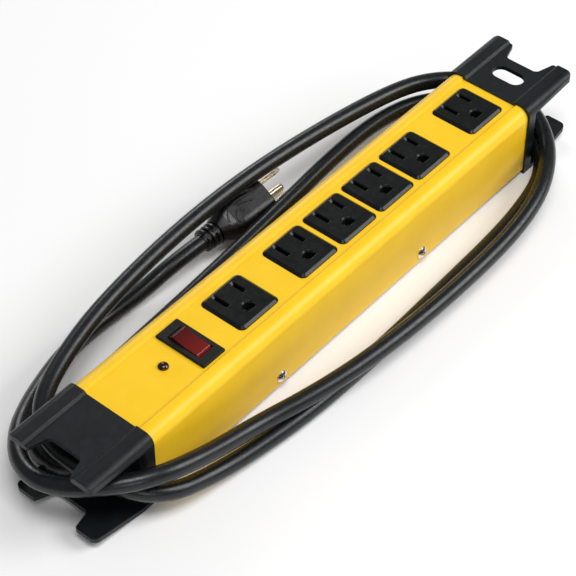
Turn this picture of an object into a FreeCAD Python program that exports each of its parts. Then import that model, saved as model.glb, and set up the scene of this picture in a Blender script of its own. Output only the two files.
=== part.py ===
"""Six-outlet metal power strip with cord-wrap end caps, lit rocker switch and wound mains cord.

Frame (mm): origin at the centre of the underside, +X along the strip toward the capped end that
has the hanging slot, +Y toward the side the plug lies on, +Z up out of the outlet faces.
"""
import FreeCAD
import Part
import math
import os

V = FreeCAD.Vector

# ---------------------------------------------------------------- housing
HALF_LENGTH = 147.0
HALF_WIDTH = 26.1
SHEET = 1.2
HOUSING_BOTTOM = 2.6
FLAT_TOP = 43.1
SHOULDER_TOP = 44.4
SHOULDER_IN = 18.0
STEP_Y = 17.0
CORNER_R = 6.5
FIT = 0.1
FLANGE_HALF_LEN = 120.0
FLANGE_TOP = 15.0
PLATE_HALF = HALF_WIDTH - SHEET - FIT

# ---------------------------------------------------------------- end caps
COLLAR = 8.0
CAP_HALF_WIDTH = 27.2
CAP_TIP_HALF_WIDTH = 25.9
CAP_REACH = 40.8
FOOT_REACH = 41.0
CAP_FLAT_TOP = 43.8
CAP_FLAT_Y = 15.2
CAP_CREST_TOP = 45.2
CAP_CREST_Y = 16.6
CAP_CORNER_R = 5.3
CAP_PLATE = 2.4
SKIRT_BOTTOM = 39.7
FOOT_THICK = 2.8
FOOT_RISE = 5.0
NOTCH_DEPTH_X = 29.5
NOTCH_HALF = 10.0
NOTCH_MOUTH_HALF = 13.4
NOTCH_R = 3.2
HORN_INNER_R = 1.4
HORN_OUTER_R = 2.5
FOOT_OUTER_R = 3.5
SLOT_X = 17.7
SLOT_WIDTH = 10.0
SLOT_LENGTH = 19.0
CORE_X = 4.5
CORE_HALF = 12.0
SPIGOT = 4.6
SPIGOT_WALL = 2.0
CAP_SCREW_R = 1.3
CAP_SCREW_HEAD_R = 2.1
CAP_SCREW_LEN = 5.6
CAP_SCREW_Y = 15.0
THREAD_GAP = 0.02

# ---------------------------------------------------------------- outlets
OUTLET_X = (127.4, 81.5, 50.5, 19.8, -11.2, -56.7)
FACE_X = 28.0
FACE_Y = 27.8
FACE_R = 3.0
FACE_PROUD = 1.4
FACE_BEVEL = 1.5
FACE_BEVEL_DROP = 1.15
FACE_GAP = 0.15
FLANGE_OUT = 0.9
FLANGE_THICK = 1.4
BODY_DEPTH = 20.0
BLADE_PITCH = 12.7
BLADE_Y = 6.4
GROUND_DROP = 11.9
HOT_SLOT = 7.2
NEUTRAL_SLOT = 8.8
SLOT_GAP = 2.2
GROUND_R = 2.9
LEAD_IN = 0.5
LEAD_RAMP = 1.5
GROUND_LEAD = 0.8

# ---------------------------------------------------------------- switch and indicator
SWITCH_X = -92.4
BEZEL_X = 15.4
BEZEL_Y = 31.2
BEZEL_HEIGHT = 1.4
SWITCH_BODY_X = 12.8
SWITCH_BODY_Y = 27.6
SWITCH_DEPTH = 17.0
WINDOW_X = 9.8
WINDOW_Y = 20.8
ROCKER_X = 9.2
ROCKER_Y = 20.0
PIVOT_Z = 40.6
PIN_R = 1.0
REST_TILT = -7.0
LAMP_X = -111.3
LENS_R = 2.6
PLUNGER_R = 1.1
PLUNGER_END = 7.4
ARM_PIVOT_Z = FLAT_TOP - SWITCH_DEPTH + 4.2
ARM_T = 0.8
ARM_REST = -4.0
TERMINAL_T = 0.8
TERMINAL_W = 4.8
TERMINAL_DROP = 8.0
TERMINAL_Z = FLAT_TOP - SWITCH_DEPTH - TERMINAL_DROP

# ---------------------------------------------------------------- fasteners
SCREW_X = 56.3
SCREW_Z = 8.1
SCREW_HEAD_R = 3.4
SCREW_HEAD_H = 1.9
SCREW_R = 1.45
SCREW_LEN = 8.0
SCREW_BALL_R = 4.6

# ---------------------------------------------------------------- live parts inside
BUS_T = 0.8
BUS_START = -88.0
BUS_END = 140.0
BUS_Z = FLAT_TOP - SHEET - BODY_DEPTH - 1.0
CLIP_TOP = FLAT_TOP - SHEET - 4.0
CLIP_GAP = 1.3
INSULATOR_T = 0.5
BOARD_X = (-134.0, -102.0)
BOARD_Z = 12.0
BOARD_T = 1.6
MOV_R = 5.0
MOV_T = 3.4
WIRE_R = 1.1

# ---------------------------------------------------------------- cord and plug
CORD_R = 4.6
CORD_ROUTE = (
    (-140.5, 8.0, 11.0), (-169.4, 8.0, 11.0), (-169.4, 37.4, 11.0), (-138.0, 38.2, 11.4),
    (-90.0, 38.5, 14.5), (-35.0, 39.0, 18.6), (20.0, 42.6, 19.8), (72.0, 48.2, 18.8),
    (112.0, 50.5, 16.4), (143.0, 46.5, 12.8),
    (163.0, 33.0, 10.5), (171.0, 11.0, 10.2), (169.5, -10.0, 10.2), (160.5, -29.0, 9.8),
    (143.0, -41.0, 8.4),
    (122.0, -45.2, 5.8), (92.0, -48.0, 4.9), (48.0, -49.2, 4.8), (-6.0, -50.6, 4.8),
    (-60.0, -49.6, 4.8), (-104.0, -44.1, 5.2), (-129.0, -40.6, 9.0),
    (-146.0, -38.6, 14.4), (-158.6, -31.2, 18.6), (-167.2, -15.5, 21.4), (-170.2, 2.0, 23.4),
    (-169.4, 18.5, 25.4), (-162.6, 32.4, 27.4), (-148.5, 42.5, 28.6),
    (-126.0, 51.0, 28.9), (-92.0, 59.5, 29.0), (-38.0, 65.2, 29.8), (13.0, 65.0, 31.2),
    (58.0, 61.6, 30.4), (104.0, 57.6, 26.6), (138.0, 52.6, 23.2),
    (157.0, 45.0, 21.2), (171.0, 31.0, 20.4), (177.5, 13.0, 20.3), (175.5, -6.0, 20.3),
    (167.0, -22.5, 20.2), (155.0, -35.6, 19.8), (139.0, -46.2, 18.8),
    (120.0, -53.5, 17.2), (95.0, -57.6, 15.4), (62.0, -58.8, 14.0), (14.0, -58.0, 13.8),
    (-30.0, -54.4, 14.2), (-62.0, -48.9, 14.7), (-92.0, -41.6, 15.6),
    (-116.0, -40.2, 20.6), (-136.0, -39.0, 26.4), (-152.0, -35.6, 29.8), (-166.0, -28.0, 30.6),
    (-178.5, -15.5, 29.2), (-186.5, -2.0, 26.8), (-189.0, 12.0, 24.6), (-183.5, 27.0, 22.4),
    (-171.0, 40.0, 19.8), (-154.0, 50.6, 15.0), (-135.0, 59.8, 9.4), (-114.0, 67.3, 5.6),
    (-88.0, 69.6, 4.8), (-58.0, 66.2, 7.2), (-37.0, 63.619, 13.007), (-16.2, 62.6, 13.1),
)
EXIT_Y = CORD_ROUTE[0][1]
EXIT_Z = CORD_ROUTE[0][2]
CORD_END_X = CORD_ROUTE[0][0]
EXIT_FIT = 0.7
RELIEF_ROOT_R = 6.4
RELIEF_TIP_R = 5.3
RELIEF_REACH = 20.0
RELIEF_STATIONS = 7
EXIT_FLANGE_R = 7.6
EXIT_FLANGE_T = 1.4
PLUG_NOSE = (28.7, 60.4, 13.3)
PLUG_TAIL = (-16.2, 62.6, 13.1)
PLUG_ROLL = 28.0
PLUG_BODY_LEN = 34.4
RELIEF_LEN = math.dist(PLUG_NOSE, PLUG_TAIL) - PLUG_BODY_LEN
PLUG_W = 24.0
PLUG_H = 22.6
PIN_DROP = 7.9
BLADE_RISE = 4.0
PLUG_BLADE_LEN = 17.5
PLUG_BLADE_T = 1.5
PLUG_BLADE_W = 6.3
PLUG_PIN_LEN = 20.8
PLUG_PIN_R = 2.4
BLADE_ROOT = 6.0
RIB_COUNT = 3
RIB_R = 6.7
RIB_W = 2.3
RIB_STEP = 3.1
RIB_CUT = 1.3
NECK_R = 5.7
TAIL_R = 5.0


def box(x0, x1, y0, y1, z0, z1):
    """Axis-aligned box from its two corners."""
    return Part.makeBox(x1 - x0, y1 - y0, z1 - z0, V(x0, y0, z0))


def rod(centre, axis, radius, length):
    """Cylinder from its start point along an axis."""
    return Part.makeCylinder(radius, length, V(*centre), V(*axis))


def round_wire(points):
    """Closed wire through (vector, radius) corners, each rounded by a tangent arc."""
    count = len(points)
    edges = []
    starts = []
    for i in range(count):
        before = points[i - 1][0]
        here, radius = points[i]
        after = points[(i + 1) % count][0]
        to_before = (before - here).normalize()
        to_after = (after - here).normalize()
        half = 0.5 * to_before.getAngle(to_after)
        reach = radius / math.tan(half) if radius > 0.0 else 0.0
        first = here + to_before * reach
        last = here + to_after * reach
        bisector = (to_before + to_after).normalize()
        middle = here + bisector * (radius / math.sin(half) - radius) if radius > 0.0 else here
        starts.append((first, middle, last, radius))
    for i in range(count):
        first, middle, last, radius = starts[i]
        if radius > 0.0:
            edges.append(Part.Arc(first, middle, last).toShape())
        following = starts[(i + 1) % count][0]
        if (following - last).Length > 1e-6:
            edges.append(Part.LineSegment(last, following).toShape())
    return Part.Wire(edges)


def prism_x(points, x0, x1):
    """Solid along X from (y, z, radius) corners."""
    wire = round_wire([(V(x0, y, z), r) for y, z, r in points])
    return Part.Face(wire).extrude(V(x1 - x0, 0, 0))


def prism_y(points, y0, y1):
    """Solid along Y from (x, z, radius) corners."""
    wire = round_wire([(V(x, y0, z), r) for x, z, r in points])
    return Part.Face(wire).extrude(V(0, y1 - y0, 0))


def prism_z(points, z0, z1):
    """Solid along Z from (x, y, radius) corners."""
    wire = round_wire([(V(x, y, z0), r) for x, y, r in points])
    return Part.Face(wire).extrude(V(0, 0, z1 - z0))


def rounded_block(cx, cy, size_x, size_y, radius, z0, z1):
    """Upright block with rounded vertical corners."""
    hx = 0.5 * size_x
    hy = 0.5 * size_y
    corners = [(cx - hx, cy - hy, radius), (cx + hx, cy - hy, radius),
               (cx + hx, cy + hy, radius), (cx - hx, cy + hy, radius)]
    return prism_z(corners, z0, z1)


def mirrored_corners(right_side):
    """Close a (y, z, radius) outline given for y > 0 by mirroring it in y."""
    return right_side + [(-y, z, r) for y, z, r in reversed(right_side)]


def turned(shape):
    """Half turn about Z: carries the +X end's part to the -X end."""
    copy = shape.copy()
    copy.rotate(V(0, 0, 0), V(0, 0, 1), 180)
    return copy


def joined(shapes):
    """One shape from touching or overlapping solids."""
    result = shapes[0]
    for shape in shapes[1:]:
        result = result.fuse(shape)
    return result.removeSplitter()


# ================================================================ housing
def cover_outline(inset, bottom):
    """Cross-section of the cover, moved inward by the sheet thickness when asked."""
    return mirrored_corners([
        (HALF_WIDTH - inset, bottom, 0.0),
        (HALF_WIDTH - inset, SHOULDER_TOP - inset, CORNER_R - inset),
        (SHOULDER_IN - 0.3 * inset, SHOULDER_TOP - inset, 0.0),
        (STEP_Y - 0.3 * inset, FLAT_TOP - inset, 0.0)])


def side_screw_places():
    """Axis start points and directions of the four side screws."""
    places = []
    for x in (-SCREW_X, SCREW_X):
        for side in (-1.0, 1.0):
            places.append((x, side))
    return places


def housing_cover():
    outer = prism_x(cover_outline(0.0, HOUSING_BOTTOM), -HALF_LENGTH, HALF_LENGTH)
    inner = prism_x(cover_outline(SHEET, HOUSING_BOTTOM - SHEET), -HALF_LENGTH - 1, HALF_LENGTH + 1)
    shell = outer.cut(inner)
    top = SHOULDER_TOP + 1.0
    below = FLAT_TOP - 2.0 * SHEET
    for x in OUTLET_X:
        size_x = FACE_X + 2.0 * FACE_GAP
        size_y = FACE_Y + 2.0 * FACE_GAP
        shell = shell.cut(rounded_block(x, 0.0, size_x, size_y, FACE_R + FACE_GAP, below, top))
    size_x = SWITCH_BODY_X + 2.0 * FIT
    size_y = SWITCH_BODY_Y + 2.0 * FIT
    shell = shell.cut(rounded_block(SWITCH_X, 0.0, size_x, size_y, 1.0, below, top))
    shell = shell.cut(rod((LAMP_X, 0.0, below), (0, 0, 1), LENS_R + FIT, top - below))
    for x, side in side_screw_places():
        start = (x, side * (HALF_WIDTH - 2.0 * SHEET), SCREW_Z)
        shell = shell.cut(rod(start, (0, side, 0), SCREW_R + 2.0 * FIT, 4.0 * SHEET))
    return shell


def base_plate():
    floor = box(-HALF_LENGTH, HALF_LENGTH, -PLATE_HALF, PLATE_HALF, HOUSING_BOTTOM,
                HOUSING_BOTTOM + SHEET)
    pieces = [floor]
    for side in (-1.0, 1.0):
        near = side * (PLATE_HALF - SHEET)
        far = side * PLATE_HALF
        pieces.append(box(-FLANGE_HALF_LEN, FLANGE_HALF_LEN, min(near, far), max(near, far),
                          HOUSING_BOTTOM, FLANGE_TOP))
    plate = joined(pieces)
    for x, side in side_screw_places():
        start = (x, side * (PLATE_HALF - 2.0 * SHEET), SCREW_Z)
        plate = plate.cut(rod(start, (0, side, 0), SCREW_R + THREAD_GAP, 4.0 * SHEET))
    for x, y in cap_screw_places():
        plate = plate.cut(Part.makeCone(CAP_SCREW_HEAD_R + 0.05, CAP_SCREW_R + 0.05, SHEET,
                                        V(x, y, HOUSING_BOTTOM)))
    return plate


def pan_screw(x, side):
    """Cross-recess pan-head screw through the cover's side into the base plate's flange."""
    seat = side * HALF_WIDTH
    head = rod((x, seat, SCREW_Z), (0, side, 0), SCREW_HEAD_R, SCREW_HEAD_H)
    ball = Part.makeSphere(SCREW_BALL_R, V(x, seat + side * (SCREW_HEAD_H - SCREW_BALL_R), SCREW_Z))
    head = head.common(ball)
    shank = rod((x, seat - side * SCREW_LEN, SCREW_Z), (0, side, 0), SCREW_R, SCREW_LEN + 0.5)
    screw = joined([head, shank])
    outer = seat + side * (SCREW_HEAD_H + 0.1)
    inner = seat + side * 0.7
    y0 = min(outer, inner)
    y1 = max(outer, inner)
    screw = screw.cut(box(x - 1.9, x + 1.9, y0, y1, SCREW_Z - 0.4, SCREW_Z + 0.4))
    screw = screw.cut(box(x - 0.4, x + 0.4, y0, y1, SCREW_Z - 1.9, SCREW_Z + 1.9))
    return screw


def side_screws():
    return Part.makeCompound([pan_screw(x, side) for x, side in side_screw_places()])


# ================================================================ end caps
def cap_screw_places():
    inset = HALF_LENGTH - 0.5 * SPIGOT
    return [(end * inset, side * CAP_SCREW_Y) for end in (-1.0, 1.0) for side in (-1.0, 1.0)]


def cap_screws():
    """Flush countersunk screws holding both caps' spigots to the base plate."""
    screws = []
    for x, y in cap_screw_places():
        head = Part.makeCone(CAP_SCREW_HEAD_R, CAP_SCREW_R, SHEET, V(x, y, HOUSING_BOTTOM))
        shank = rod((x, y, HOUSING_BOTTOM + 0.5 * SHEET), (0, 0, 1), CAP_SCREW_R,
                    CAP_SCREW_LEN - 0.5 * SHEET)
        screw = joined([head, shank])
        screw = screw.cut(box(x - 1.3, x + 1.3, y - 0.3, y + 0.3, HOUSING_BOTTOM - 1, HOUSING_BOTTOM + 0.7))
        screw = screw.cut(box(x - 0.3, x + 0.3, y - 1.3, y + 1.3, HOUSING_BOTTOM - 1, HOUSING_BOTTOM + 0.7))
        screws.append(screw)
    return Part.makeCompound(screws)


def cap_outline(bottom):
    """Cap cross-section: the flat with its two ridges and rounded outer corners."""
    return mirrored_corners([
        (CAP_HALF_WIDTH, bottom, 0.0),
        (CAP_HALF_WIDTH, CAP_CREST_TOP, CAP_CORNER_R),
        (CAP_CREST_Y, CAP_CREST_TOP, 0.8),
        (CAP_FLAT_Y, CAP_FLAT_TOP, 0.0)])


def top_plate_band(x0, x1):
    """Top plate with turned-down sides, before its plan outline is cut."""
    solid = prism_x(cap_outline(SKIRT_BOTTOM), x0, x1)
    hollow_y = CAP_HALF_WIDTH - CAP_PLATE
    hollow = prism_x([(hollow_y, SKIRT_BOTTOM - 1, 0.0), (hollow_y, CAP_FLAT_TOP - CAP_PLATE, 1.2),
                      (-hollow_y, CAP_FLAT_TOP - CAP_PLATE, 1.2), (-hollow_y, SKIRT_BOTTOM - 1, 0.0)],
                     x0 - 1, x1 + 1)
    return solid.cut(hollow)


def plan_outline(reach, outer_r, z0, z1):
    """Horned plan of a cap plate: tapering sides and a trapezoid notch between the horns."""
    wall = HALF_LENGTH
    tip = wall + reach
    floor = wall + NOTCH_DEPTH_X
    low_side = [(wall, -CAP_HALF_WIDTH - 1, 0.0), (wall + COLLAR, -CAP_HALF_WIDTH, 0.0),
                (tip, -CAP_TIP_HALF_WIDTH, outer_r), (tip, -NOTCH_MOUTH_HALF, HORN_INNER_R),
                (floor, -NOTCH_HALF, NOTCH_R)]
    high_side = [(x, -y, r) for x, y, r in reversed(low_side)]
    return prism_z(low_side + high_side, z0, z1)


def foot_plate():
    """Lower plate: level under the collar, its tabs rising toward their tips."""
    wall = HALF_LENGTH
    level = wall + COLLAR + 3.0
    tip = wall + FOOT_REACH + 1.0
    profile = [(wall, 0.0, 0.0), (level, 0.0, 0.0), (tip, FOOT_RISE, 0.0),
               (tip, FOOT_RISE + FOOT_THICK, 0.0), (level, FOOT_THICK, 0.0), (wall, FOOT_THICK, 0.0)]
    slab = prism_y(profile, -CAP_HALF_WIDTH, CAP_HALF_WIDTH)
    return slab.common(plan_outline(FOOT_REACH, FOOT_OUTER_R, -1.0, 20.0))


def collar():
    """Wall closing the housing, hollowed from inside, its outer corners rounded."""
    wall = prism_x(cap_outline(0.0), HALF_LENGTH, HALF_LENGTH + COLLAR)
    plan = rounded_block(HALF_LENGTH, 0.0, 2.0 * COLLAR, 2.0 * CAP_HALF_WIDTH, 3.0, -1.0, SKIRT_BOTTOM)
    above = box(HALF_LENGTH, HALF_LENGTH + COLLAR, -CAP_HALF_WIDTH, CAP_HALF_WIDTH, SKIRT_BOTTOM,
                CAP_CREST_TOP + 1)
    wall = wall.common(joined([plan, above]))
    pocket = box(HALF_LENGTH - 1, HALF_LENGTH + COLLAR - 3.0, -22.0, 22.0, 5.8, 38.5)
    return wall.cut(pocket)


def spigot():
    """Ring that plugs into the housing's end."""
    y = HALF_WIDTH - SHEET - FIT
    low = HOUSING_BOTTOM + SHEET
    high = FLAT_TOP - SHEET - FIT
    inner = y - SPIGOT_WALL
    ring = prism_x([(y, low, 0.0), (y, high, CORNER_R), (-y, high, CORNER_R), (-y, low, 0.0)],
                   HALF_LENGTH - SPIGOT, HALF_LENGTH)
    bore = prism_x([(inner, low + SPIGOT_WALL, 0.0), (inner, high - SPIGOT_WALL, 3.0),
                    (-inner, high - SPIGOT_WALL, 3.0), (-inner, low + SPIGOT_WALL, 0.0)],
                   HALF_LENGTH - SPIGOT - 1, HALF_LENGTH + 1)
    ring = ring.cut(bore)
    for side in (-1.0, 1.0):
        place = (HALF_LENGTH - 0.5 * SPIGOT, side * CAP_SCREW_Y, low)
        boss = rod(place, (0, 0, 1), 2.3, 4.4)
        ring = ring.fuse(boss).cut(rod(place, (0, 0, 1), CAP_SCREW_R + THREAD_GAP, 4.8))
    return ring


def end_cap(core_low, core_high):
    """Cap drawn at the +X end; the core post stands between the plates."""
    wall = HALF_LENGTH
    plate = top_plate_band(wall + COLLAR - 1.0, wall + CAP_REACH)
    plate = plate.common(plan_outline(CAP_REACH, HORN_OUTER_R, 0.0, CAP_CREST_TOP + 1))
    core = rounded_block(wall + COLLAR, 0.5 * (core_low + core_high), 2.0 * CORE_X,
                         core_high - core_low, 2.0, 1.0, CAP_FLAT_TOP - 1.0)
    core = core.common(box(wall + COLLAR - 1.0, wall + COLLAR + CORE_X, -CORE_HALF, CORE_HALF,
                           0.0, CAP_FLAT_TOP))
    return joined([collar(), spigot(), plate, foot_plate(), core])


def far_end_cap():
    cap = end_cap(-CORE_HALF, CORE_HALF)
    slot = rounded_block(HALF_LENGTH + SLOT_X, 0.0, SLOT_WIDTH, SLOT_LENGTH,
                         0.5 * SLOT_WIDTH - 0.01, SKIRT_BOTTOM - 2, CAP_CREST_TOP + 1)
    return cap.cut(slot)


def near_end_cap():
    cap = turned(end_cap(1.5, CORE_HALF))
    start = (-HALF_LENGTH - COLLAR - 1.0, EXIT_Y, EXIT_Z)
    cap = cap.cut(rod(start, (1, 0, 0), RELIEF_ROOT_R, COLLAR - 2.0))
    return cap.cut(rod(start, (1, 0, 0), CORD_R + EXIT_FIT, COLLAR + SPIGOT + 2.0))


def cord_relief():
    """Moulded bushing in the near cap's wall, tapering along the cord as it bends away."""
    face = -HALF_LENGTH - COLLAR
    barrel = rod((face, EXIT_Y, EXIT_Z), (1, 0, 0), RELIEF_ROOT_R, 3.0)
    inside = rod((face + 3.0, EXIT_Y, EXIT_Z), (1, 0, 0), RELIEF_ROOT_R + 0.6, 1.6)
    inside = inside.common(box(face, 0.0, EXIT_Y - 12, EXIT_Y + 12, 5.9, 38.0))
    flange = rod((face - EXIT_FLANGE_T, EXIT_Y, EXIT_Z), (1, 0, 0), EXIT_FLANGE_R, EXIT_FLANGE_T)
    flange = flange.common(box(face - 2.0, face, EXIT_Y - 12, EXIT_Y + 12, FOOT_THICK, 38.0))
    bush = joined([barrel, inside, flange, relief_sleeve(face)])
    return bush.cut(tube(CORD_ROUTE[:5], CORD_R)[0])


def relief_sleeve(face):
    """Cone that follows the cord's own line out of the wall."""
    spine, radii = path_wire(CORD_ROUTE[:5])
    start = face - CORD_END_X
    wires = []
    for i in range(RELIEF_STATIONS):
        share = i / (RELIEF_STATIONS - 1)
        place, direction = along_wire(spine, abs(start) + share * RELIEF_REACH)
        radius = RELIEF_ROOT_R + share * (RELIEF_TIP_R - RELIEF_ROOT_R)
        wires.append(Part.Wire([Part.Circle(place, direction, radius).toShape()]))
    return Part.makeLoft(wires, True, False)


def along_wire(wire, distance):
    """Point and direction on a wire made of ordered edges, at a distance from its start."""
    left = distance
    for edge in wire.OrderedEdges:
        if left <= edge.Length:
            return edge_place(edge, left)
        left -= edge.Length
    return edge_place(wire.OrderedEdges[-1], wire.OrderedEdges[-1].Length)


def edge_place(edge, distance):
    parameter = edge.getParameterByLength(distance)
    return edge.valueAt(parameter), edge.tangentAt(parameter)


# ================================================================ outlets
def ground_hole(x, y, z0, z1, radius):
    """Ground opening: round toward the blades, flat on the far side."""
    barrel = rod((x, y, z0), (0, 0, 1), radius, z1 - z0)
    square = box(x - radius, x + radius, y - radius + 0.3, y, z0, z1)
    return barrel.fuse(square).removeSplitter().cut(
        box(x - 2 * radius, x + 2 * radius, y - 2 * radius, y - radius + 0.3, z0 - 1, z1 + 1))


def blade_lead_in(cx, length, top):
    """Chamfered mouth of a blade slot, with a longer ramp at its outer end."""
    half = 0.5 * length
    gap = 0.5 * SLOT_GAP
    low = [V(cx - gap, BLADE_Y - half, top - LEAD_IN), V(cx + gap, BLADE_Y - half, top - LEAD_IN),
           V(cx + gap, BLADE_Y + half, top - LEAD_IN), V(cx - gap, BLADE_Y + half, top - LEAD_IN)]
    wide = gap + 0.6 * LEAD_IN
    high = [V(cx - wide, BLADE_Y - half - LEAD_IN, top), V(cx + wide, BLADE_Y - half - LEAD_IN, top),
            V(cx + wide, BLADE_Y + half + LEAD_IN, top), V(cx - wide, BLADE_Y + half + LEAD_IN, top)]
    mouth = Part.makeLoft([round_wire([(p, 0.0) for p in low]), round_wire([(p, 0.0) for p in high])],
                          True, True)
    ramp = prism_across([(BLADE_Y + half - 0.2, top - LEAD_RAMP), (BLADE_Y + half + LEAD_RAMP, top),
                         (BLADE_Y + half - 0.2, top)], cx - gap, cx + gap)
    return mouth.fuse(ramp)


def prism_across(points, x0, x1):
    """Solid along X from plain (y, z) corners."""
    return prism_x([(y, z, 0.0) for y, z in points], x0, x1)


def outlet(x):
    """One receptacle: square face through the cover, flange under it, cavities for the contacts."""
    top = FLAT_TOP + FACE_PROUD
    under = FLAT_TOP - SHEET
    face = rounded_block(x, 0.0, FACE_X, FACE_Y, FACE_R, under - FLANGE_THICK, top)
    rim = [edge for edge in face.Edges if abs(edge.BoundBox.ZMin - top) < 1e-6
           and abs(edge.BoundBox.ZMax - top) < 1e-6]
    face = face.makeChamfer(FACE_BEVEL_DROP, FACE_BEVEL, rim)
    flange = rounded_block(x, 0.0, FACE_X + 2.0 * FLANGE_OUT, FACE_Y + 2.0 * FLANGE_OUT, FACE_R,
                           under - FLANGE_THICK, under)
    body = rounded_block(x, 0.0, FACE_X - 1.0, FACE_Y - 0.4, 2.0, under - BODY_DEPTH, under)
    shape = joined([face, flange, body])
    for side, length in ((-1.0, NEUTRAL_SLOT), (1.0, HOT_SLOT)):
        cx = x + side * 0.5 * BLADE_PITCH
        shape = shape.cut(box(cx - 0.5 * SLOT_GAP, cx + 0.5 * SLOT_GAP, BLADE_Y - 0.5 * length,
                              BLADE_Y + 0.5 * length, under - 4.0, top + 1))
        shape = shape.cut(blade_lead_in(cx, length, top))
        shape = shape.cut(box(cx - 3.4, cx + 3.4, BLADE_Y - 5.4, BLADE_Y + 5.4,
                              under - BODY_DEPTH - 1, under - 3.0))
    gy = BLADE_Y - GROUND_DROP
    shape = shape.cut(ground_hole(x, gy, under - 4.0, top + 1, GROUND_R))
    shape = shape.cut(Part.makeCone(GROUND_R, GROUND_R + GROUND_LEAD, GROUND_LEAD,
                                    V(x, gy, top - GROUND_LEAD), V(0, 0, 1)).common(
        box(x - 5.0, x + 5.0, gy, gy + 5.0, top - 1.0, top + 1.0)))
    shape = shape.cut(box(x - 3.8, x + 3.8, gy - 4.2, gy + 4.2, under - BODY_DEPTH - 1, under - 3.0))
    return shape


# ================================================================ live parts inside
def blade_clips(x):
    """Two sprung leaves gripping one blade, joined to the bus below."""
    leaves = []
    for side in (-1.0, 1.0):
        inner = x + side * 0.5 * CLIP_GAP
        outer = inner + side * BUS_T
        leaves.append(box(min(inner, outer), max(inner, outer), BLADE_Y - 3.0, BLADE_Y + 3.0,
                          BUS_Z, CLIP_TOP))
    return leaves


def blade_bus(offset, bus_y, start, end):
    """Side bus with a clip pair and a cross link under every outlet."""
    pieces = [box(start, end, bus_y - 1.6, bus_y + 1.6, BUS_Z, BUS_Z + BUS_T)]
    for x in OUTLET_X:
        cx = x + offset
        low = min(bus_y, BLADE_Y - 3.0)
        high = max(bus_y, BLADE_Y + 3.0)
        pieces.append(box(cx - 2.4, cx + 2.4, low, high, BUS_Z, BUS_Z + BUS_T))
        pieces += blade_clips(cx)
    return joined(pieces)


def neutral_bus():
    return blade_bus(-0.5 * BLADE_PITCH, 14.6, BUS_START, BUS_END)


def hot_bus():
    """The hot bus runs lower than the neutral one and reaches up to its clips."""
    low = BUS_Z - 3.0
    pieces = [box(BUS_START, BUS_END, 3.4, 6.6, low, low + BUS_T)]
    for x in OUTLET_X:
        cx = x + 0.5 * BLADE_PITCH
        pieces.append(box(cx - 2.4, cx + 2.4, 5.4, 6.2, low, BUS_Z + BUS_T))
        pieces.append(box(cx - 2.4, cx + 2.4, BLADE_Y - 3.0, BLADE_Y + 3.0, BUS_Z, BUS_Z + BUS_T))
        pieces += blade_clips(cx)
    return joined(pieces)


def ground_bus():
    gy = BLADE_Y - GROUND_DROP
    pieces = [box(BUS_START, BUS_END, -12.6, -9.0, BUS_Z, BUS_Z + BUS_T)]
    for x in OUTLET_X:
        pieces.append(box(x - 2.6, x + 2.6, -12.6, gy + 3.0, BUS_Z, BUS_Z + BUS_T))
        for side in (-1.0, 1.0):
            inner = x + side * 2.1
            outer = inner + side * BUS_T
            pieces.append(box(min(inner, outer), max(inner, outer), gy - 2.6, gy + 2.6, BUS_Z,
                              CLIP_TOP))
    return joined(pieces)


def insulating_sheet():
    """Fibre sheet between the live bars and the steel floor."""
    floor = HOUSING_BOTTOM + SHEET
    return box(-100.0, 138.0, -21.0, 21.0, floor, floor + INSULATOR_T)


def surge_board():
    board = box(BOARD_X[0], BOARD_X[1], -18.0, 0.0, BOARD_Z, BOARD_Z + BOARD_T)
    pieces = [board]
    for x in (BOARD_X[0] + 3.0, BOARD_X[1] - 3.0):
        for y in (-15.5, -2.5):
            pieces.append(rod((x, y, HOUSING_BOTTOM + SHEET), (0, 0, 1), 1.6,
                              BOARD_Z - HOUSING_BOTTOM - SHEET))
    return joined(pieces)


def varistors():
    """Three surge discs standing on the board."""
    discs = []
    for i in range(3):
        x = BOARD_X[0] + 7.0 + 8.0 * i
        centre = (x - 0.5 * MOV_T, -12.0, BOARD_Z + BOARD_T + MOV_R + 0.6)
        disc = rod(centre, (1, 0, 0), MOV_R, MOV_T)
        lead = box(x - 0.4, x + 0.4, -12.4, -11.6, BOARD_Z + BOARD_T, BOARD_Z + BOARD_T + 2.0)
        discs.append(joined([disc, lead]))
    return Part.makeCompound(discs)


def thermal_fuse():
    body = rod((BOARD_X[0] + 6.0, -3.6, BOARD_Z + BOARD_T + 2.6), (1, 0, 0), 2.0, 12.0)
    legs = [box(BOARD_X[0] + 8.0, BOARD_X[0] + 8.8, -4.0, -3.2, BOARD_Z + BOARD_T, BOARD_Z + BOARD_T + 2.0),
            box(BOARD_X[0] + 15.0, BOARD_X[0] + 15.8, -4.0, -3.2, BOARD_Z + BOARD_T,
                BOARD_Z + BOARD_T + 2.0)]
    return joined([body] + legs)


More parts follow.
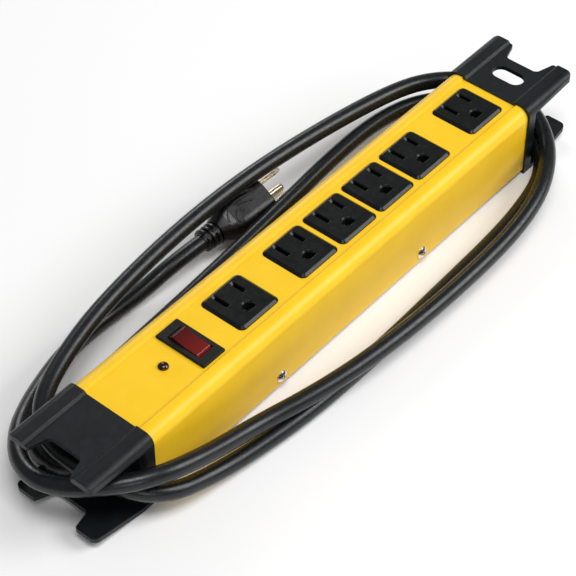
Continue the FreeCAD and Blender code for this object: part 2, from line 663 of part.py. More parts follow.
# ================================================================ switch
def switch_housing():
    """Bezel and body in one moulding, with the rocker's well and the chamber below it."""
    top = FLAT_TOP + BEZEL_HEIGHT
    bezel = rounded_block(SWITCH_X, 0.0, BEZEL_X, BEZEL_Y, 0.6, FLAT_TOP, top)
    rim = [edge for edge in bezel.Edges if abs(edge.BoundBox.ZMin - top) < 1e-6
           and abs(edge.BoundBox.ZMax - top) < 1e-6]
    bezel = bezel.makeChamfer(0.5, rim)
    body = rounded_block(SWITCH_X, 0.0, SWITCH_BODY_X, SWITCH_BODY_Y, 0.8, FLAT_TOP - SWITCH_DEPTH,
                         FLAT_TOP)
    shape = joined([bezel, body])
    well = box(SWITCH_X - 0.5 * WINDOW_X, SWITCH_X + 0.5 * WINDOW_X, -0.5 * WINDOW_Y, 0.5 * WINDOW_Y,
               FLAT_TOP - SWITCH_DEPTH + 1.6, top + 1)
    shape = shape.cut(well)
    for tab in switch_terminals().Solids:
        shape = shape.cut(tab)
    return shape.cut(rod((SWITCH_X - 0.5 * SWITCH_BODY_X - 1, 0.0, PIVOT_Z), (1, 0, 0),
                         PIN_R + 0.04, SWITCH_BODY_X + 2))


def tilted(shape):
    """Turn about the pivot line to the switch's rest position."""
    copy = shape.copy()
    copy.rotate(V(SWITCH_X, 0.0, PIVOT_Z), V(1, 0, 0), -REST_TILT)
    return copy


def switch_rocker():
    """Lit rocker: two facets, bevelled ends, cheeks with the pivot pin, a finger below."""
    hx = 0.5 * ROCKER_X
    hy = 0.5 * ROCKER_Y
    crown = FLAT_TOP + BEZEL_HEIGHT + 1.3
    valley = crown - 0.8
    floor = FLAT_TOP - 3.6
    profile = [(-hy + 0.6, floor, 0.6), (-hy, crown - 2.2, 0.3), (-hy + 2.2, crown, 0.3),
               (0.0, valley, 0.0), (hy - 2.2, crown, 0.3), (hy, crown - 2.2, 0.3),
               (hy - 0.6, floor, 0.6)]
    shell = prism_x(profile, SWITCH_X - hx, SWITCH_X + hx)
    shell = shell.cut(box(SWITCH_X - hx + 1.2, SWITCH_X + hx - 1.2, -hy + 2.4, hy - 2.4,
                          floor - 1, crown - 2.6))
    pin = rod((SWITCH_X - 0.5 * SWITCH_BODY_X + 0.3, 0.0, PIVOT_Z), (1, 0, 0), PIN_R,
              SWITCH_BODY_X - 0.6)
    web = box(SWITCH_X - hx + 0.2, SWITCH_X + hx - 0.2, -1.6, 1.6, floor - 1.0, crown - 2.4)
    return tilted(joined([shell, pin, web]))


def switch_plunger():
    """Sprung plunger held in the rocker's web; it presses the contact arm over."""
    top = FLAT_TOP - 4.6
    stem = rod((SWITCH_X, 0.0, PIVOT_Z - PLUNGER_END), (0, 0, 1), PLUNGER_R, top - PIVOT_Z + PLUNGER_END)
    tip = Part.makeSphere(PLUNGER_R, V(SWITCH_X, 0.0, PIVOT_Z - PLUNGER_END))
    return tilted(joined([stem, tip]))


def switch_contact_arm():
    """See-saw arm on the centre terminal, contact button at its +Y end."""
    half = 7.6
    z = ARM_PIVOT_Z
    bar = prism_x([(-half, z + 0.9, 0.0), (-1.6, z + 0.3, 0.0), (1.6, z + 0.3, 0.0),
                   (half, z + 0.9, 0.0), (half, z + 0.9 + ARM_T, 0.0), (1.6, z + 0.3 + ARM_T, 0.0),
                   (-1.6, z + 0.3 + ARM_T, 0.0), (-half, z + 0.9 + ARM_T, 0.0)],
                  SWITCH_X - 2.0, SWITCH_X + 2.0)
    button = rod((SWITCH_X, half - 1.8, z + 0.2), (0, 0, 1), 1.4, 1.2)
    arm = joined([bar, button])
    arm.rotate(V(SWITCH_X, 0.0, z), V(1, 0, 0), ARM_REST)
    return arm


def switch_terminals():
    """Three tab terminals through the switch's floor; the centre one cradles the arm."""
    floor = FLAT_TOP - SWITCH_DEPTH
    tabs = []
    centre = box(SWITCH_X - 0.5 * TERMINAL_W, SWITCH_X + 0.5 * TERMINAL_W, -0.5 * TERMINAL_T,
                 0.5 * TERMINAL_T, floor - TERMINAL_DROP, ARM_PIVOT_Z)
    tabs.append(centre)
    for y in (-9.0, 6.2):
        tab = box(SWITCH_X - 0.5 * TERMINAL_W, SWITCH_X + 0.5 * TERMINAL_W, y - 0.5 * TERMINAL_T,
                  y + 0.5 * TERMINAL_T, floor - TERMINAL_DROP, ARM_PIVOT_Z - 0.6)
        tabs.append(tab)
    return Part.makeCompound(tabs)


def switch_lamp():
    """Small neon lamp inside the rocker, clear of its web."""
    lamp = rod((SWITCH_X - 3.0, -5.0, PIVOT_Z + 1.0), (1, 0, 0), 1.2, 6.0)
    return tilted(lamp)


# ================================================================ indicator
def indicator_lens():
    collar_z = FLAT_TOP + 0.8
    barrel = rod((LAMP_X, 0.0, FLAT_TOP - 6.0), (0, 0, 1), LENS_R, 6.8)
    dome = Part.makeSphere(3.2, V(LAMP_X, 0.0, collar_z - 2.0))
    dome = dome.common(rod((LAMP_X, 0.0, collar_z), (0, 0, 1), LENS_R, 4.0))
    lens = joined([barrel, dome])
    return lens.cut(rod((LAMP_X, 0.0, FLAT_TOP - 7.0), (0, 0, 1), 1.7, 6.0))


def indicator_lamp():
    bulb = rod((LAMP_X, 0.0, FLAT_TOP - 9.0), (0, 0, 1), 1.5, 7.0)
    return bulb


# ================================================================ inner wiring
def path_wire(points):
    """Straight runs joined by tangent arcs; returns the wire and its smallest arc radius."""
    tangent = []
    radii = []
    vectors = [V(*p) for p in points]
    for i in range(1, len(vectors) - 1):
        before = vectors[i - 1] - vectors[i]
        after = vectors[i + 1] - vectors[i]
        reach = 0.45 * min(before.Length, after.Length)
        turn = math.pi - before.getAngle(after)
        radius = reach / math.tan(0.5 * turn)
        u = V(before).normalize()
        w = V(after).normalize()
        first = vectors[i] + u * reach
        last = vectors[i] + w * reach
        middle = vectors[i] + (u + w).normalize() * (radius / math.cos(0.5 * turn) - radius)
        tangent.append((first, middle, last))
        radii.append(radius)
    edges = []
    current = vectors[0]
    for first, middle, last in tangent:
        edges.append(Part.LineSegment(current, first).toShape())
        edges.append(Part.Arc(first, middle, last).toShape())
        current = last
    edges.append(Part.LineSegment(current, vectors[-1]).toShape())
    return Part.Wire(edges), radii


def tube(points, radius):
    """Round tube along a path of points."""
    spine, radii = path_wire(points)
    direction = V(*points[1]) - V(*points[0])
    circle = Part.Circle(V(*points[0]), direction, radius).toShape()
    pipe = Part.BRepOffsetAPI.MakePipeShell(spine)
    pipe.add(Part.Wire([circle]))
    pipe.build()
    pipe.makeSolid()
    return pipe.shape(), spine, radii


def inner_wire(points):
    solid, spine, radii = tube(points, WIRE_R)
    return solid


def hot_wires():
    """Cord to switch, then switch to the hot bus."""
    first = inner_wire([(CORD_END_X, 6.4, 11.4), (-134.0, 6.4, 11.4), (-118.0, 4.6, 9.0),
                        (-100.0, 1.6, 9.0), (SWITCH_X, 0.0, 12.0), (SWITCH_X, 0.0, TERMINAL_Z)])
    second = inner_wire([(SWITCH_X, 6.2, TERMINAL_Z), (SWITCH_X, 6.2, 12.0), (-88.6, 5.6, 10.6),
                         (-87.0, 5.0, 13.4), (-86.9, 5.0, BUS_Z - 3.0)])
    return Part.makeCompound([first, second])


def neutral_wire():
    return inner_wire([(CORD_END_X, 10.4, 10.4), (-134.0, 10.4, 10.4), (-112.0, 12.6, 9.6),
                       (-94.0, 14.4, 10.4), (-86.0, 14.6, 14.0), (-86.0, 14.6, BUS_Z)])


def ground_wire():
    return inner_wire([(CORD_END_X, 8.0, 7.2), (-134.0, 8.0, 7.2), (-118.0, 6.4, 6.4),
                       (-101.0, 3.4, 6.4), (-92.0, -4.6, 7.4), (-86.5, -10.6, 12.0),
                       (-86.5, -10.8, BUS_Z)])


def ground_screw():
    """Bonding screw fixing the ground bus lug to the steel floor."""
    floor = HOUSING_BOTTOM + SHEET
    head = rod((-112.0, 15.6, floor), (0, 0, 1), 2.8, 1.8)
    return head.cut(box(-114.4, -109.6, 15.2, 16.0, floor + 0.9, floor + 2.0))


# ================================================================ cord and plug
def cord():
    solid, spine, radii = tube(CORD_ROUTE, CORD_R)
    section = math.pi * CORD_R * CORD_R
    print("cord length", round(spine.Length, 1), "volume ratio",
          round(solid.Volume / (section * spine.Length), 4))
    print("cord arc radii", [round(r, 1) for r in radii])
    return solid


def plug_frame():
    """Nose point and the plug's own axes: along, across the blades, toward the ground pin."""
    nose = V(*PLUG_NOSE)
    along = (nose - V(*PLUG_TAIL)).normalize()
    side = V(0, 0, 1).cross(along).normalize()
    up = along.cross(side).normalize()
    roll = math.radians(PLUG_ROLL)
    pinward = up * (-math.cos(roll)) + side * math.sin(roll)
    across = along.cross(pinward).normalize()
    return nose, along, across, pinward


def plug_place(shape):
    """Carry a shape drawn with X along, Y across and Z opposite the ground pin to its place."""
    nose, along, across, pinward = plug_frame()
    up = pinward * -1.0
    matrix = FreeCAD.Matrix(along.x, across.x, up.x, nose.x,
                            along.y, across.y, up.y, nose.y,
                            along.z, across.z, up.z, nose.z,
                            0, 0, 0, 1)
    copy = shape.copy()
    copy.transformShape(matrix, True)
    return copy


def section_wire(x, width, height, radius):
    hw = 0.5 * width
    hh = 0.5 * height
    return round_wire([(V(x, -hw, -hh), radius), (V(x, hw, -hh), radius),
                       (V(x, hw, hh), radius), (V(x, -hw, hh), radius)])


BLADE_CENTRES = (-0.5 * BLADE_PITCH, 0.5 * BLADE_PITCH)
PLUG_STATIONS = (
    (0.0, PLUG_W - 1.0, PLUG_H - 1.0, 7.6), (-0.8, PLUG_W, PLUG_H, 8.0),
    (-16.0, PLUG_W, PLUG_H, 8.0), (-22.0, PLUG_W - 0.6, PLUG_H - 0.6, 7.9),
    (-26.5, PLUG_W - 2.2, PLUG_H - 2.0, 7.7), (-29.5, PLUG_W - 4.6, PLUG_H - 4.0, 7.4),
    (-32.0, PLUG_W - 7.6, PLUG_H - 6.6, 6.8), (-PLUG_BODY_LEN, 13.6, 13.4, 6.3))


def plug_body():
    """Moulded grip: full section at the nose, waisted then rounded down to the relief."""
    wires = [section_wire(x, w, h, r) for x, w, h, r in PLUG_STATIONS]
    body = Part.makeLoft(wires, True, True)
    for y in BLADE_CENTRES:
        body = body.cut(box(-BLADE_ROOT, 1.0, y - 0.5 * PLUG_BLADE_T, y + 0.5 * PLUG_BLADE_T,
                            BLADE_RISE - 0.5 * PLUG_BLADE_W, BLADE_RISE + 0.5 * PLUG_BLADE_W))
    body = body.cut(rod((-BLADE_ROOT, 0.0, -PIN_DROP), (1, 0, 0), PLUG_PIN_R, BLADE_ROOT + 1.0))
    return plug_place(body)


def plug_blades():
    blades = []
    for y in BLADE_CENTRES:
        blade = box(-BLADE_ROOT, PLUG_BLADE_LEN, y - 0.5 * PLUG_BLADE_T, y + 0.5 * PLUG_BLADE_T,
                    BLADE_RISE - 0.5 * PLUG_BLADE_W, BLADE_RISE + 0.5 * PLUG_BLADE_W)
        tips = [edge for edge in blade.Edges if abs(edge.BoundBox.XMin - PLUG_BLADE_LEN) < 1e-6
                and abs(edge.BoundBox.YLength - PLUG_BLADE_T) < 1e-6]
        blade = blade.makeChamfer(1.4, tips)
        hole = rod((PLUG_BLADE_LEN - 4.0, y - 2.0, BLADE_RISE), (0, 1, 0), 1.5, 4.0)
        blades.append(plug_place(blade.cut(hole)))
    return Part.makeCompound(blades)


def plug_ground_pin():
    shank = rod((-BLADE_ROOT, 0.0, -PIN_DROP), (1, 0, 0), PLUG_PIN_R,
                BLADE_ROOT + PLUG_PIN_LEN - PLUG_PIN_R)
    tip = Part.makeSphere(PLUG_PIN_R, V(PLUG_PIN_LEN - PLUG_PIN_R, 0.0, -PIN_DROP))
    return plug_place(joined([shank, tip]))


def rib(x, index):
    """One rounded relief ring, split by a slot that turns a quarter from ring to ring."""
    ring = rod((x - RIB_W, 0.0, 0.0), (1, 0, 0), RIB_R - 0.12 * index, RIB_W)
    rims = [edge for edge in ring.Edges if edge.BoundBox.XLength < 1e-6]
    ring = ring.makeFillet(0.8, rims)
    wide = 2.0 * RIB_R
    if index % 2 == 0:
        return ring.cut(box(x - wide, x + wide, -RIB_CUT, RIB_CUT, TAIL_R + 0.4, wide))
    return ring.cut(box(x - wide, x + wide, TAIL_R + 0.4, wide, -RIB_CUT, RIB_CUT))


def plug_relief():
    """Stack of flexible rings from the body's tail down to the cord."""
    tail = -PLUG_BODY_LEN
    core = Part.makeCone(NECK_R, TAIL_R, RELIEF_LEN, V(tail, 0, 0), V(-1, 0, 0))
    ribs = [rib(tail - 0.9 - RIB_STEP * i, i) for i in range(RIB_COUNT)]
    return plug_place(joined([core] + ribs))


# ================================================================ write everything
def write(name, shape):
    if shape.ShapeType == "Compound" and len(shape.Solids) == 1:
        shape = shape.Solids[0]
    print(name, "solids", len(shape.Solids), "valid", shape.isValid(),
          "box", [round(v, 2) for v in (shape.BoundBox.XMin, shape.BoundBox.YMin,
                                        shape.BoundBox.ZMin, shape.BoundBox.XMax,
                                        shape.BoundBox.YMax, shape.BoundBox.ZMax)])
    shape.exportStep("parts/" + name + ".step")


def main():
    os.makedirs("parts", exist_ok=True)
    write("housing_cover", housing_cover())
    write("base_plate", base_plate())
    write("side_screws", side_screws())
    write("near_end_cap", near_end_cap())
    write("far_end_cap", far_end_cap())
    write("cap_screws", cap_screws())
    for i, x in enumerate(OUTLET_X):
        write("outlet_" + str(i + 1), outlet(x))
    write("neutral_bus", neutral_bus())
    write("hot_bus", hot_bus())
    write("ground_bus", ground_bus())
    write("insulating_sheet", insulating_sheet())
    write("surge_board", surge_board())
    write("varistors", varistors())
    write("thermal_fuse", thermal_fuse())
    write("switch_housing", switch_housing())
    write("switch_rocker", switch_rocker())
    write("switch_plunger", switch_plunger())
    write("switch_contact_arm", switch_contact_arm())
    write("switch_terminals", switch_terminals())
    write("switch_lamp", switch_lamp())
    write("indicator_lens", indicator_lens())
    write("indicator_lamp", indicator_lamp())
    write("hot_wires", hot_wires())
    write("neutral_wire", neutral_wire())
    write("ground_wire", ground_wire())
    write("ground_screw", ground_screw())
    write("cord_relief", cord_relief())
    write("cord", cord())
    write("plug_body", plug_body())
    write("plug_blades", plug_blades())
    write("plug_ground_pin", plug_ground_pin())
    write("plug_relief", plug_relief())


main()
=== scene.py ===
"""Studio scene of the power strip: CAD frame, procedural materials and the wound cord."""
import math

import bmesh
import bpy
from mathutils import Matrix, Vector
from mathutils.bvhtree import BVHTree


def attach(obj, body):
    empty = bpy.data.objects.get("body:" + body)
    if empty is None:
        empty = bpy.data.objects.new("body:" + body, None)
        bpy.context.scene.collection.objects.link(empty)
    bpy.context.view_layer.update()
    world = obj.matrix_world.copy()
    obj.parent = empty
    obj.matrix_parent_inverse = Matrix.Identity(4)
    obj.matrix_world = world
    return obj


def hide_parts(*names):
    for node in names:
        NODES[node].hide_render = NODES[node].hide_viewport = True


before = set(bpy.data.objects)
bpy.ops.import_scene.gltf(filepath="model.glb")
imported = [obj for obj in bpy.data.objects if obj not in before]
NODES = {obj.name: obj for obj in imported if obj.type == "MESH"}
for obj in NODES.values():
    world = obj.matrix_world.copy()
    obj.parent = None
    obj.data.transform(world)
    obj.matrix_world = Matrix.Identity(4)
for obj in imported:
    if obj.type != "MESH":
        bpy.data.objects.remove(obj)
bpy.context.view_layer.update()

# ------------------------------------------------------------------ camera
CAMERA_AT = (-0.55743, -0.45281, 0.75005)
CAMERA_TILT = math.radians(44.07)
CAMERA_TURN = math.radians(-49.86)
CAMERA_LENS = 126.23
SENSOR = 36.0
CLIP_START = 0.05
CLIP_END = 20.0

# ------------------------------------------------------------------ light and floor
WORLD_STRENGTH = 0.22
FLOOR_SIZE = 8.0
LIGHT_TARGET = (0.0, 0.0, 0.02)
# name, place, width, height, power
LIGHTS = (
    ("key", (1.12, -1.20, 1.25), 1.1, 1.1, 24.0),
    ("overhead", (-0.30, -0.50, 1.90), 1.0, 0.8, 18.5),
    ("rim", (0.85, 1.15, 0.75), 0.6, 0.4, 4.5),
    ("near_side", (-0.90, -1.30, 0.80), 0.6, 0.5, 3.0),
)

# ------------------------------------------------------------------ cord, in metres
CORD_DIAMETER = 0.0092
CORD_ORDER = 3
CORD_STEPS = 10
CORD_ROUNDNESS = 7
CORD_POINTS = (
    (-0.1405, 0.0080, 0.0110), (-0.1694, 0.0080, 0.0110), (-0.1694, 0.0374, 0.0110),
    (-0.138, 0.0382, 0.0114), (-0.090, 0.0385, 0.0145), (-0.035, 0.0390, 0.0186),
    (0.0200, 0.0426, 0.0198), (0.0720, 0.0482, 0.0188), (0.1120, 0.0505, 0.0164),
    (0.1430, 0.0465, 0.0128), (0.1630, 0.0330, 0.0105), (0.1710, 0.0110, 0.0102),
    (0.1695, -0.010, 0.0102), (0.1605, -0.029, 0.0098), (0.1430, -0.041, 0.0084),
    (0.1220, -0.0452, 0.0058), (0.0920, -0.048, 0.0049), (0.0480, -0.0492, 0.0048),
    (-0.006, -0.0506, 0.0048), (-0.060, -0.0496, 0.0048), (-0.104, -0.0441, 0.0052),
    (-0.129, -0.0406, 0.0090), (-0.146, -0.0386, 0.0144), (-0.1586, -0.0312, 0.0186),
    (-0.1672, -0.0155, 0.0214), (-0.1702, 0.0020, 0.0234), (-0.1694, 0.0185, 0.0254),
    (-0.1626, 0.0324, 0.0274), (-0.1485, 0.0425, 0.0286), (-0.126, 0.0510, 0.0289),
    (-0.092, 0.0595, 0.0290), (-0.038, 0.0652, 0.0298), (0.0130, 0.0650, 0.0312),
    (0.0580, 0.0616, 0.0304), (0.1040, 0.0576, 0.0266), (0.1380, 0.0526, 0.0232),
    (0.1570, 0.0450, 0.0212), (0.1710, 0.0310, 0.0204), (0.1775, 0.0130, 0.0203),
    (0.1755, -0.006, 0.0203), (0.1670, -0.0225, 0.0202), (0.1550, -0.0356, 0.0198),
    (0.1390, -0.0462, 0.0188), (0.1200, -0.0535, 0.0172), (0.0950, -0.0576, 0.0154),
    (0.0620, -0.0588, 0.0140), (0.0140, -0.058, 0.0138), (-0.030, -0.0544, 0.0142),
    (-0.062, -0.0489, 0.0147), (-0.092, -0.0416, 0.0156), (-0.116, -0.0402, 0.0206),
    (-0.136, -0.039, 0.0264), (-0.152, -0.0356, 0.0298), (-0.166, -0.028, 0.0306),
    (-0.1785, -0.0155, 0.0292), (-0.1865, -0.002, 0.0268), (-0.189, 0.0120, 0.0246),
    (-0.1835, 0.0270, 0.0224), (-0.171, 0.0400, 0.0198), (-0.154, 0.0506, 0.0150),
    (-0.135, 0.0598, 0.0094), (-0.114, 0.0673, 0.0056), (-0.088, 0.0696, 0.0048),
    (-0.058, 0.0662, 0.0072), (-0.037, 0.063619, 0.013007), (-0.0162, 0.0626, 0.0131),
)

# ------------------------------------------------------------------ plug grip, in metres and degrees
PLUG_NOSE = (0.0287, 0.0604, 0.0133)
PLUG_TAIL = (-0.0162, 0.0626, 0.0131)
RIDGE_R = 0.00055
RIDGE_STEPS = 24
RIDGE_SIDES = 10
RIDGE_SEARCH = 0.03
RIDGE_TIP = 0.25
RIDGE_SWELL = 0.4
# stations of each ridge: distance from the tail, turn about the plug's axis
RIDGES = (
    ((0.0195, 8.0), (0.0245, 8.5), (0.0300, 7.0), (0.0350, 3.0), (0.0400, -3.0)),
    ((0.0220, -2.0), (0.0260, -2.0), (0.0300, -3.5), (0.0340, -6.5), (0.0375, -10.5)),
    ((0.0250, -14.0), (0.0285, -15.5), (0.0320, -20.0), (0.0350, -26.0)),
    ((0.0190, -6.0), (0.0172, -16.0), (0.0162, -28.0), (0.0158, -40.0)),
    ((0.0225, -22.0), (0.0210, -32.0), (0.0202, -43.0), (0.0200, -54.0)),
)


# ------------------------------------------------------------------ materials
PATTERN_LOW = 0.3
PATTERN_HIGH = 0.7
BEVEL_SAMPLES = 6
GRAIN_SCALE = 2600.0
GLOSS_SPREAD = 0.06
STREAK_LIFT = 1.6


class Shader:
    """A new material with its Principled shader, and short ways to add nodes to it."""

    def __init__(self, name, color, roughness, metallic=0.0, specular=0.5):
        self.material = bpy.data.materials.new(name)
        self.material.use_nodes = True
        self.tree = self.material.node_tree
        self.bsdf = self.tree.nodes["Principled BSDF"]
        self.bsdf.inputs["Base Color"].default_value = (*color, 1.0)
        self.bsdf.inputs["Roughness"].default_value = roughness
        self.bsdf.inputs["Metallic"].default_value = metallic
        self.bsdf.inputs["Specular IOR Level"].default_value = specular
        coords = self.tree.nodes.new("ShaderNodeTexCoord")
        self.place = coords.outputs["Object"]
        self.rounded = None

    def link(self, source, target):
        self.tree.links.new(source, target)

    def noise(self, scale, detail=3.0, stretch=(1.0, 1.0, 1.0)):
        mapping = self.tree.nodes.new("ShaderNodeMapping")
        mapping.inputs["Scale"].default_value = stretch
        self.link(self.place, mapping.inputs["Vector"])
        node = self.tree.nodes.new("ShaderNodeTexNoise")
        node.inputs["Scale"].default_value = scale
        node.inputs["Detail"].default_value = detail
        self.link(mapping.outputs["Vector"], node.inputs["Vector"])
        return node.outputs["Fac"]

    def across(self, axis):
        """Place from 0 to 1 along one axis of the part's own box."""
        coords = self.tree.nodes.new("ShaderNodeTexCoord")
        split = self.tree.nodes.new("ShaderNodeSeparateXYZ")
        self.link(coords.outputs["Generated"], split.inputs["Vector"])
        return split.outputs[axis]

    def ramp(self, factor, low, high):
        """Spread a 0 to 1 pattern between two values."""
        node = self.tree.nodes.new("ShaderNodeMapRange")
        node.inputs["From Min"].default_value = PATTERN_LOW
        node.inputs["From Max"].default_value = PATTERN_HIGH
        node.inputs["To Min"].default_value = low
        node.inputs["To Max"].default_value = high
        self.link(factor, node.inputs["Value"])
        return node.outputs["Result"]

    def colours(self, factor, stops):
        """Base colour from a pattern, by stops of (place, colour)."""
        node = self.tree.nodes.new("ShaderNodeValToRGB")
        ramp = node.color_ramp
        while len(ramp.elements) < len(stops):
            ramp.elements.new(0.5)
        for element, (position, color) in zip(ramp.elements, stops):
            element.position = position
            element.color = (*color, 1.0)
        self.link(factor, node.inputs["Fac"])
        self.link(node.outputs["Color"], self.bsdf.inputs["Base Color"])

    def roughen(self, factor, low, high):
        self.link(self.ramp(factor, low, high), self.bsdf.inputs["Roughness"])

    def bump(self, factor, distance, strength):
        node = self.tree.nodes.new("ShaderNodeBump")
        node.inputs["Distance"].default_value = distance
        node.inputs["Strength"].default_value = strength
        self.link(factor, node.inputs["Height"])
        if self.rounded is not None:
            self.link(self.rounded, node.inputs["Normal"])
        self.link(node.outputs["Normal"], self.bsdf.inputs["Normal"])

    def round_edges(self, radius):
        """Let sharp edges catch the light as if they had a small radius."""
        node = self.tree.nodes.new("ShaderNodeBevel")
        node.samples = BEVEL_SAMPLES
        node.inputs["Radius"].default_value = radius
        self.rounded = node.outputs["Normal"]
        self.link(self.rounded, self.bsdf.inputs["Normal"])

    def set(self, name, value):
        self.bsdf.inputs[name].default_value = value


def powder_coat():
    """Bright yellow powder coat: faint orange peel, slight mottling, soft sheen."""
    paint = Shader("yellow_powder_coat", (0.93, 0.56, 0.012), 0.36, specular=0.24)
    paint.round_edges(0.0004)
    mottle = paint.noise(scale=45.0, detail=4.0)
    paint.colours(mottle, ((0.35, (0.90, 0.550, 0.012)), (0.65, (0.94, 0.585, 0.018))))
    paint.roughen(paint.noise(scale=160.0, detail=2.0), low=0.31, high=0.40)
    paint.bump(paint.noise(scale=1500.0, detail=2.0), distance=0.00003, strength=0.25)
    paint.set("Coat Weight", 0.15)
    paint.set("Coat Roughness", 0.3)
    return paint.material


def grained_plastic(name, color, lighter, roughness, grain, edge):
    """Moulded plastic with a fine sandblasted grain."""
    plastic = Shader(name, color, roughness, specular=0.25)
    plastic.round_edges(edge)
    plastic.colours(plastic.noise(scale=60.0, detail=4.0), ((PATTERN_LOW, color), (PATTERN_HIGH, lighter)))
    plastic.roughen(plastic.noise(scale=300.0, detail=3.0),
                    low=roughness - GLOSS_SPREAD, high=roughness + GLOSS_SPREAD)
    plastic.bump(plastic.noise(scale=GRAIN_SCALE, detail=3.0), distance=grain, strength=0.5)
    return plastic.material


def cord_rubber(name="cord_jacket", color=(0.005, 0.006, 0.007), edge=0.0):
    """Soft jacket with faint lighter mottling and a dull sheen."""
    jacket = Shader(name, color, 0.34, specular=0.42)
    if edge:
        jacket.round_edges(edge)
    lighter = tuple(STREAK_LIFT * c for c in color)
    jacket.colours(jacket.noise(scale=140.0, detail=4.0), ((PATTERN_LOW, color), (PATTERN_HIGH, lighter)))
    jacket.roughen(jacket.noise(scale=420.0, detail=2.0), low=0.25, high=0.36)
    jacket.bump(jacket.noise(scale=1800.0, detail=3.0), distance=0.00003, strength=0.35)
    return jacket.material


def plated_metal(name, color, roughness):
    """Bare or plated metal with fine drawing marks."""
    metal = Shader(name, color, roughness, metallic=1.0)
    metal.roughen(metal.noise(scale=500.0, detail=3.0), roughness * 0.7, roughness * 1.4)
    metal.bump(metal.noise(scale=900.0, detail=2.0, stretch=(1.0, 6.0, 6.0)), distance=0.00002, strength=0.3)
    return metal.material


def tinted_plastic(name, color, darker_end, axis):
    """Deep red translucent moulding with bright gloss on its edges; its colour runs from `color` at one end
    to `darker_end` at the other along one axis of its box, and on the rocker that run is painted light and
    shade.
    """
    tint = Shader(name, color, 0.13, specular=0.4)
    tint.round_edges(0.0006)
    # Colour ramp along the axis, `color` fading to `darker_end`: on the switch rocker this is painted light
    # and shade across its face.
    tint.colours(tint.across(axis), ((0.1, color), (0.9, darker_end)))
    tint.roughen(tint.noise(scale=600.0, detail=2.0), low=0.10, high=0.18)
    tint.set("Subsurface Weight", 0.05)
    tint.set("Subsurface Radius", (0.004, 0.0004, 0.0004))
    tint.set("Subsurface Scale", 0.5)
    tint.set("Coat Weight", 0.3)
    tint.set("Coat Roughness", 0.06)
    return tint.material


def plain_moulding(name, color, roughness):
    """Inner parts and insulation: slightly mottled, satin."""
    part = Shader(name, color, roughness)
    lighter = tuple(min(1.0, 1.15 * c + 0.004) for c in color)
    part.colours(part.noise(scale=220.0, detail=3.0), ((PATTERN_LOW, color), (PATTERN_HIGH, lighter)))
    part.bump(part.noise(scale=900.0, detail=2.0), distance=0.00002, strength=0.3)
    return part.material


# ------------------------------------------------------------------ painting
def paint(names, material):
    for name in names:
        node = NODES[name]
        node.data.materials.clear()
        node.data.materials.append(material)


# ------------------------------------------------------------------ camera and cord
def make_camera():
    data = bpy.data.cameras.new("camera")
    data.lens = CAMERA_LENS
    data.sensor_width = SENSOR
    data.clip_start = CLIP_START
    data.clip_end = CLIP_END
    camera = bpy.data.objects.new("camera", data)
    bpy.context.scene.collection.objects.link(camera)
    camera.location = CAMERA_AT
    camera.rotation_euler = (CAMERA_TILT, 0.0, CAMERA_TURN)
    bpy.context.scene.camera = camera


def make_cord(material):
    curve = bpy.data.curves.new("mains_cord", "CURVE")
    curve.dimensions = "3D"
    curve.resolution_u = CORD_STEPS
    curve.bevel_depth = 0.5 * CORD_DIAMETER
    curve.bevel_resolution = CORD_ROUNDNESS
    spline = curve.splines.new("NURBS")
    spline.points.add(len(CORD_POINTS) - 1)
    for point, place in zip(spline.points, CORD_POINTS):
        point.co = (*place, 1.0)
    spline.order_u = CORD_ORDER
    spline.use_endpoint_u = True
    cord = bpy.data.objects.new("mains_cord", curve)
    bpy.context.scene.collection.objects.link(cord)
    curve.materials.append(material)
    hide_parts("cord")
    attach(cord, "strip")


# ------------------------------------------------------------------ ridges on the plug grip
def surface_of(node):
    """Search tree over a CAD node's faces, in the scene's own frame."""
    places = [node.matrix_world @ vertex.co for vertex in node.data.vertices]
    return BVHTree.FromPolygons(places, [tuple(face.vertices) for face in node.data.polygons])


def grip_place(tree, along, angle):
    """Point and outward direction on the grip, by distance from the tail and turn about its axis."""
    nose = Vector(PLUG_NOSE)
    tail = Vector(PLUG_TAIL)
    axis = (nose - tail).normalized()
    side = Vector((0.0, 0.0, 1.0)).cross(axis).normalized()
    up = axis.cross(side)
    turn = math.radians(angle)
    outward = side * math.sin(turn) + up * math.cos(turn)
    start = tail + axis * along + outward * RIDGE_SEARCH
    place = tree.ray_cast(start, -outward)[0]
    return place, outward


def ridge_rings(tree, stations):
    """Rounded bar on the grip through a few stations, thinning out at both ends."""
    samples = []
    for i in range(RIDGE_STEPS + 1):
        spot = i / RIDGE_STEPS * (len(stations) - 1)
        k = min(int(spot), len(stations) - 2)
        share = spot - k
        along = stations[k][0] + share * (stations[k + 1][0] - stations[k][0])
        angle = stations[k][1] + share * (stations[k + 1][1] - stations[k][1])
        samples.append(grip_place(tree, along, angle))
    rings = []
    for i, (place, outward) in enumerate(samples):
        before = samples[max(i - 1, 0)][0]
        after = samples[min(i + 1, RIDGE_STEPS)][0]
        heading = (after - before).normalized()
        across = heading.cross(outward).normalized()
        lift = across.cross(heading)
        swell = math.sin(math.pi * (i + 0.5) / (RIDGE_STEPS + 1)) ** RIDGE_SWELL
        radius = RIDGE_R * (RIDGE_TIP + (1.0 - RIDGE_TIP) * swell)
        rings.append([place + radius * (across * math.cos(t) + lift * math.sin(t))
                      for t in (2.0 * math.pi * j / RIDGE_SIDES for j in range(RIDGE_SIDES))])
    return rings


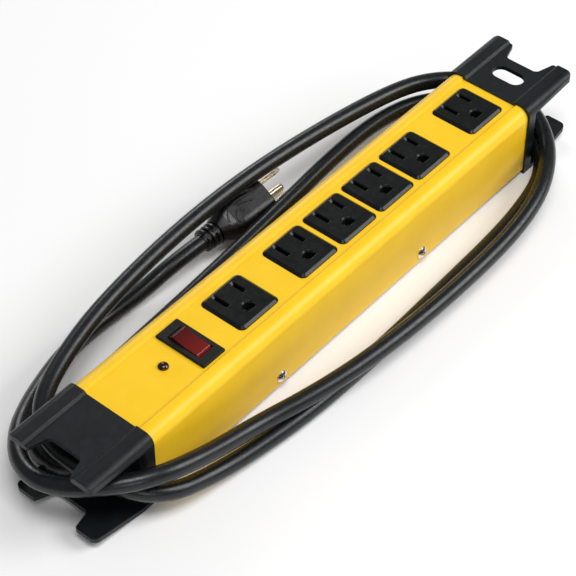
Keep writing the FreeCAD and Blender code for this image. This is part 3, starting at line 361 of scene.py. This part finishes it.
def make_ridges(material):
    """Raised arcs and short bars moulded into the grip's upper face."""
    tree = surface_of(NODES["plug_body"])
    mesh = bmesh.new()
    for stations in RIDGES:
        rings = [[mesh.verts.new(point) for point in ring] for ring in ridge_rings(tree, stations)]
        for low, high in zip(rings, rings[1:]):
            for j in range(RIDGE_SIDES):
                k = (j + 1) % RIDGE_SIDES
                mesh.faces.new((low[j], low[k], high[k], high[j]))
        mesh.faces.new(tuple(reversed(rings[0])))
        mesh.faces.new(tuple(rings[-1]))
    bmesh.ops.recalc_face_normals(mesh, faces=mesh.faces)
    data = bpy.data.meshes.new("plug_ridges")
    mesh.to_mesh(data)
    mesh.free()
    data.shade_smooth()
    data.materials.append(material)
    ridges = bpy.data.objects.new("plug_ridges", data)
    bpy.context.scene.collection.objects.link(ridges)
    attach(ridges, "strip")


# ------------------------------------------------------------------ stage
def area_light(name, place, width, height, power):
    data = bpy.data.lights.new(name, "AREA")
    data.shape = "RECTANGLE"
    data.size = width
    data.size_y = height
    data.energy = power
    light = bpy.data.objects.new(name, data)
    bpy.context.scene.collection.objects.link(light)
    light.location = place
    direction = Vector(LIGHT_TARGET) - Vector(place)
    light.rotation_euler = direction.to_track_quat("-Z", "Y").to_euler()


def make_stage():
    world = bpy.data.worlds.new("studio")
    bpy.context.scene.world = world
    world.use_nodes = True
    background = world.node_tree.nodes["Background"]
    background.inputs["Color"].default_value = (1.0, 1.0, 1.0, 1.0)
    background.inputs["Strength"].default_value = WORLD_STRENGTH
    bpy.ops.mesh.primitive_plane_add(size=FLOOR_SIZE, location=(0.0, 0.0, 0.0))
    floor = bpy.context.object
    floor.name = "floor"
    shade = Shader("pale_floor", (0.9, 0.9, 0.9), 0.6, specular=0.2)
    shade.colours(shade.noise(scale=3.0), ((0.0, (0.95, 0.95, 0.95)), (1.0, (0.97, 0.97, 0.97))))
    floor.data.materials.append(shade.material)
    for name, place, width, height, power in LIGHTS:
        area_light(name, place, width, height, power)
    bpy.context.scene.view_settings.view_transform = "Standard"


# ------------------------------------------------------------------ the object
make_camera()
make_cord(cord_rubber())
make_stage()

paint(["housing_cover"], powder_coat())
paint(["near_end_cap", "far_end_cap"], grained_plastic(
    "cap_plastic", (0.006, 0.008, 0.009), (0.010, 0.013, 0.015),
    roughness=0.38, grain=0.00006, edge=0.0005))
paint([name for name in NODES if name.startswith("outlet_")], grained_plastic(
    "outlet_plastic", (0.005, 0.006, 0.006), (0.008, 0.009, 0.009),
    roughness=0.24, grain=0.000005, edge=0.0004))
paint(["switch_housing"], grained_plastic(
    "bezel_plastic", (0.003, 0.004, 0.003), (0.009, 0.010, 0.008),
    roughness=0.55, grain=0.0001, edge=0.0003))
# The rocker's brighter red at its -Y end fading to darker red at +Y is painted light and shade.
paint(["switch_rocker"], tinted_plastic(
    "rocker_red", color=(0.170, 0.006, 0.003), darker_end=(0.055, 0.002, 0.002), axis="Y"))
paint(["indicator_lens"], tinted_plastic(
    "indicator_red", color=(0.035, 0.002, 0.003), darker_end=(0.020, 0.001, 0.002), axis="Z"))
paint(["side_screws", "cap_screws"], plated_metal("bright_plate", (0.78, 0.78, 0.80), 0.16))
grip_rubber = cord_rubber("plug_rubber", (0.003, 0.003, 0.003), 0.0005)
paint(["plug_body", "plug_relief", "cord_relief"], grip_rubber)
make_ridges(grip_rubber)
paint(["plug_blades"], plated_metal("blade_metal", (0.56, 0.44, 0.27), 0.28))
paint(["plug_ground_pin"], plated_metal("pin_metal", (0.58, 0.52, 0.40), 0.3))
paint(["base_plate"], plated_metal("plate_steel", (0.55, 0.56, 0.58), 0.35))
paint(["neutral_bus", "hot_bus", "ground_bus", "switch_contact_arm", "switch_terminals"],
      plated_metal("contact_brass", (0.72, 0.50, 0.20), 0.3))
paint(["insulating_sheet"], plain_moulding("fibre_sheet", (0.09, 0.09, 0.10), 0.7))
paint(["surge_board"], plain_moulding("board_green", (0.03, 0.17, 0.07), 0.45))
paint(["varistors"], plain_moulding("varistor_blue", (0.03, 0.09, 0.38), 0.3))
paint(["thermal_fuse"], plain_moulding("fuse_tan", (0.55, 0.46, 0.33), 0.6))
paint(["switch_plunger"], plain_moulding("plunger_white", (0.7, 0.69, 0.66), 0.4))
paint(["switch_lamp", "indicator_lamp"], plain_moulding("lamp_glass", (0.75, 0.62, 0.5), 0.12))
paint(["hot_wires"], plain_moulding("wire_black", (0.015, 0.015, 0.015), 0.4))
paint(["neutral_wire"], plain_moulding("wire_white", (0.75, 0.75, 0.73), 0.4))
paint(["ground_wire"], plain_moulding("wire_green", (0.03, 0.22, 0.06), 0.4))
paint(["ground_screw"], plated_metal("screw_green", (0.08, 0.35, 0.14), 0.35))
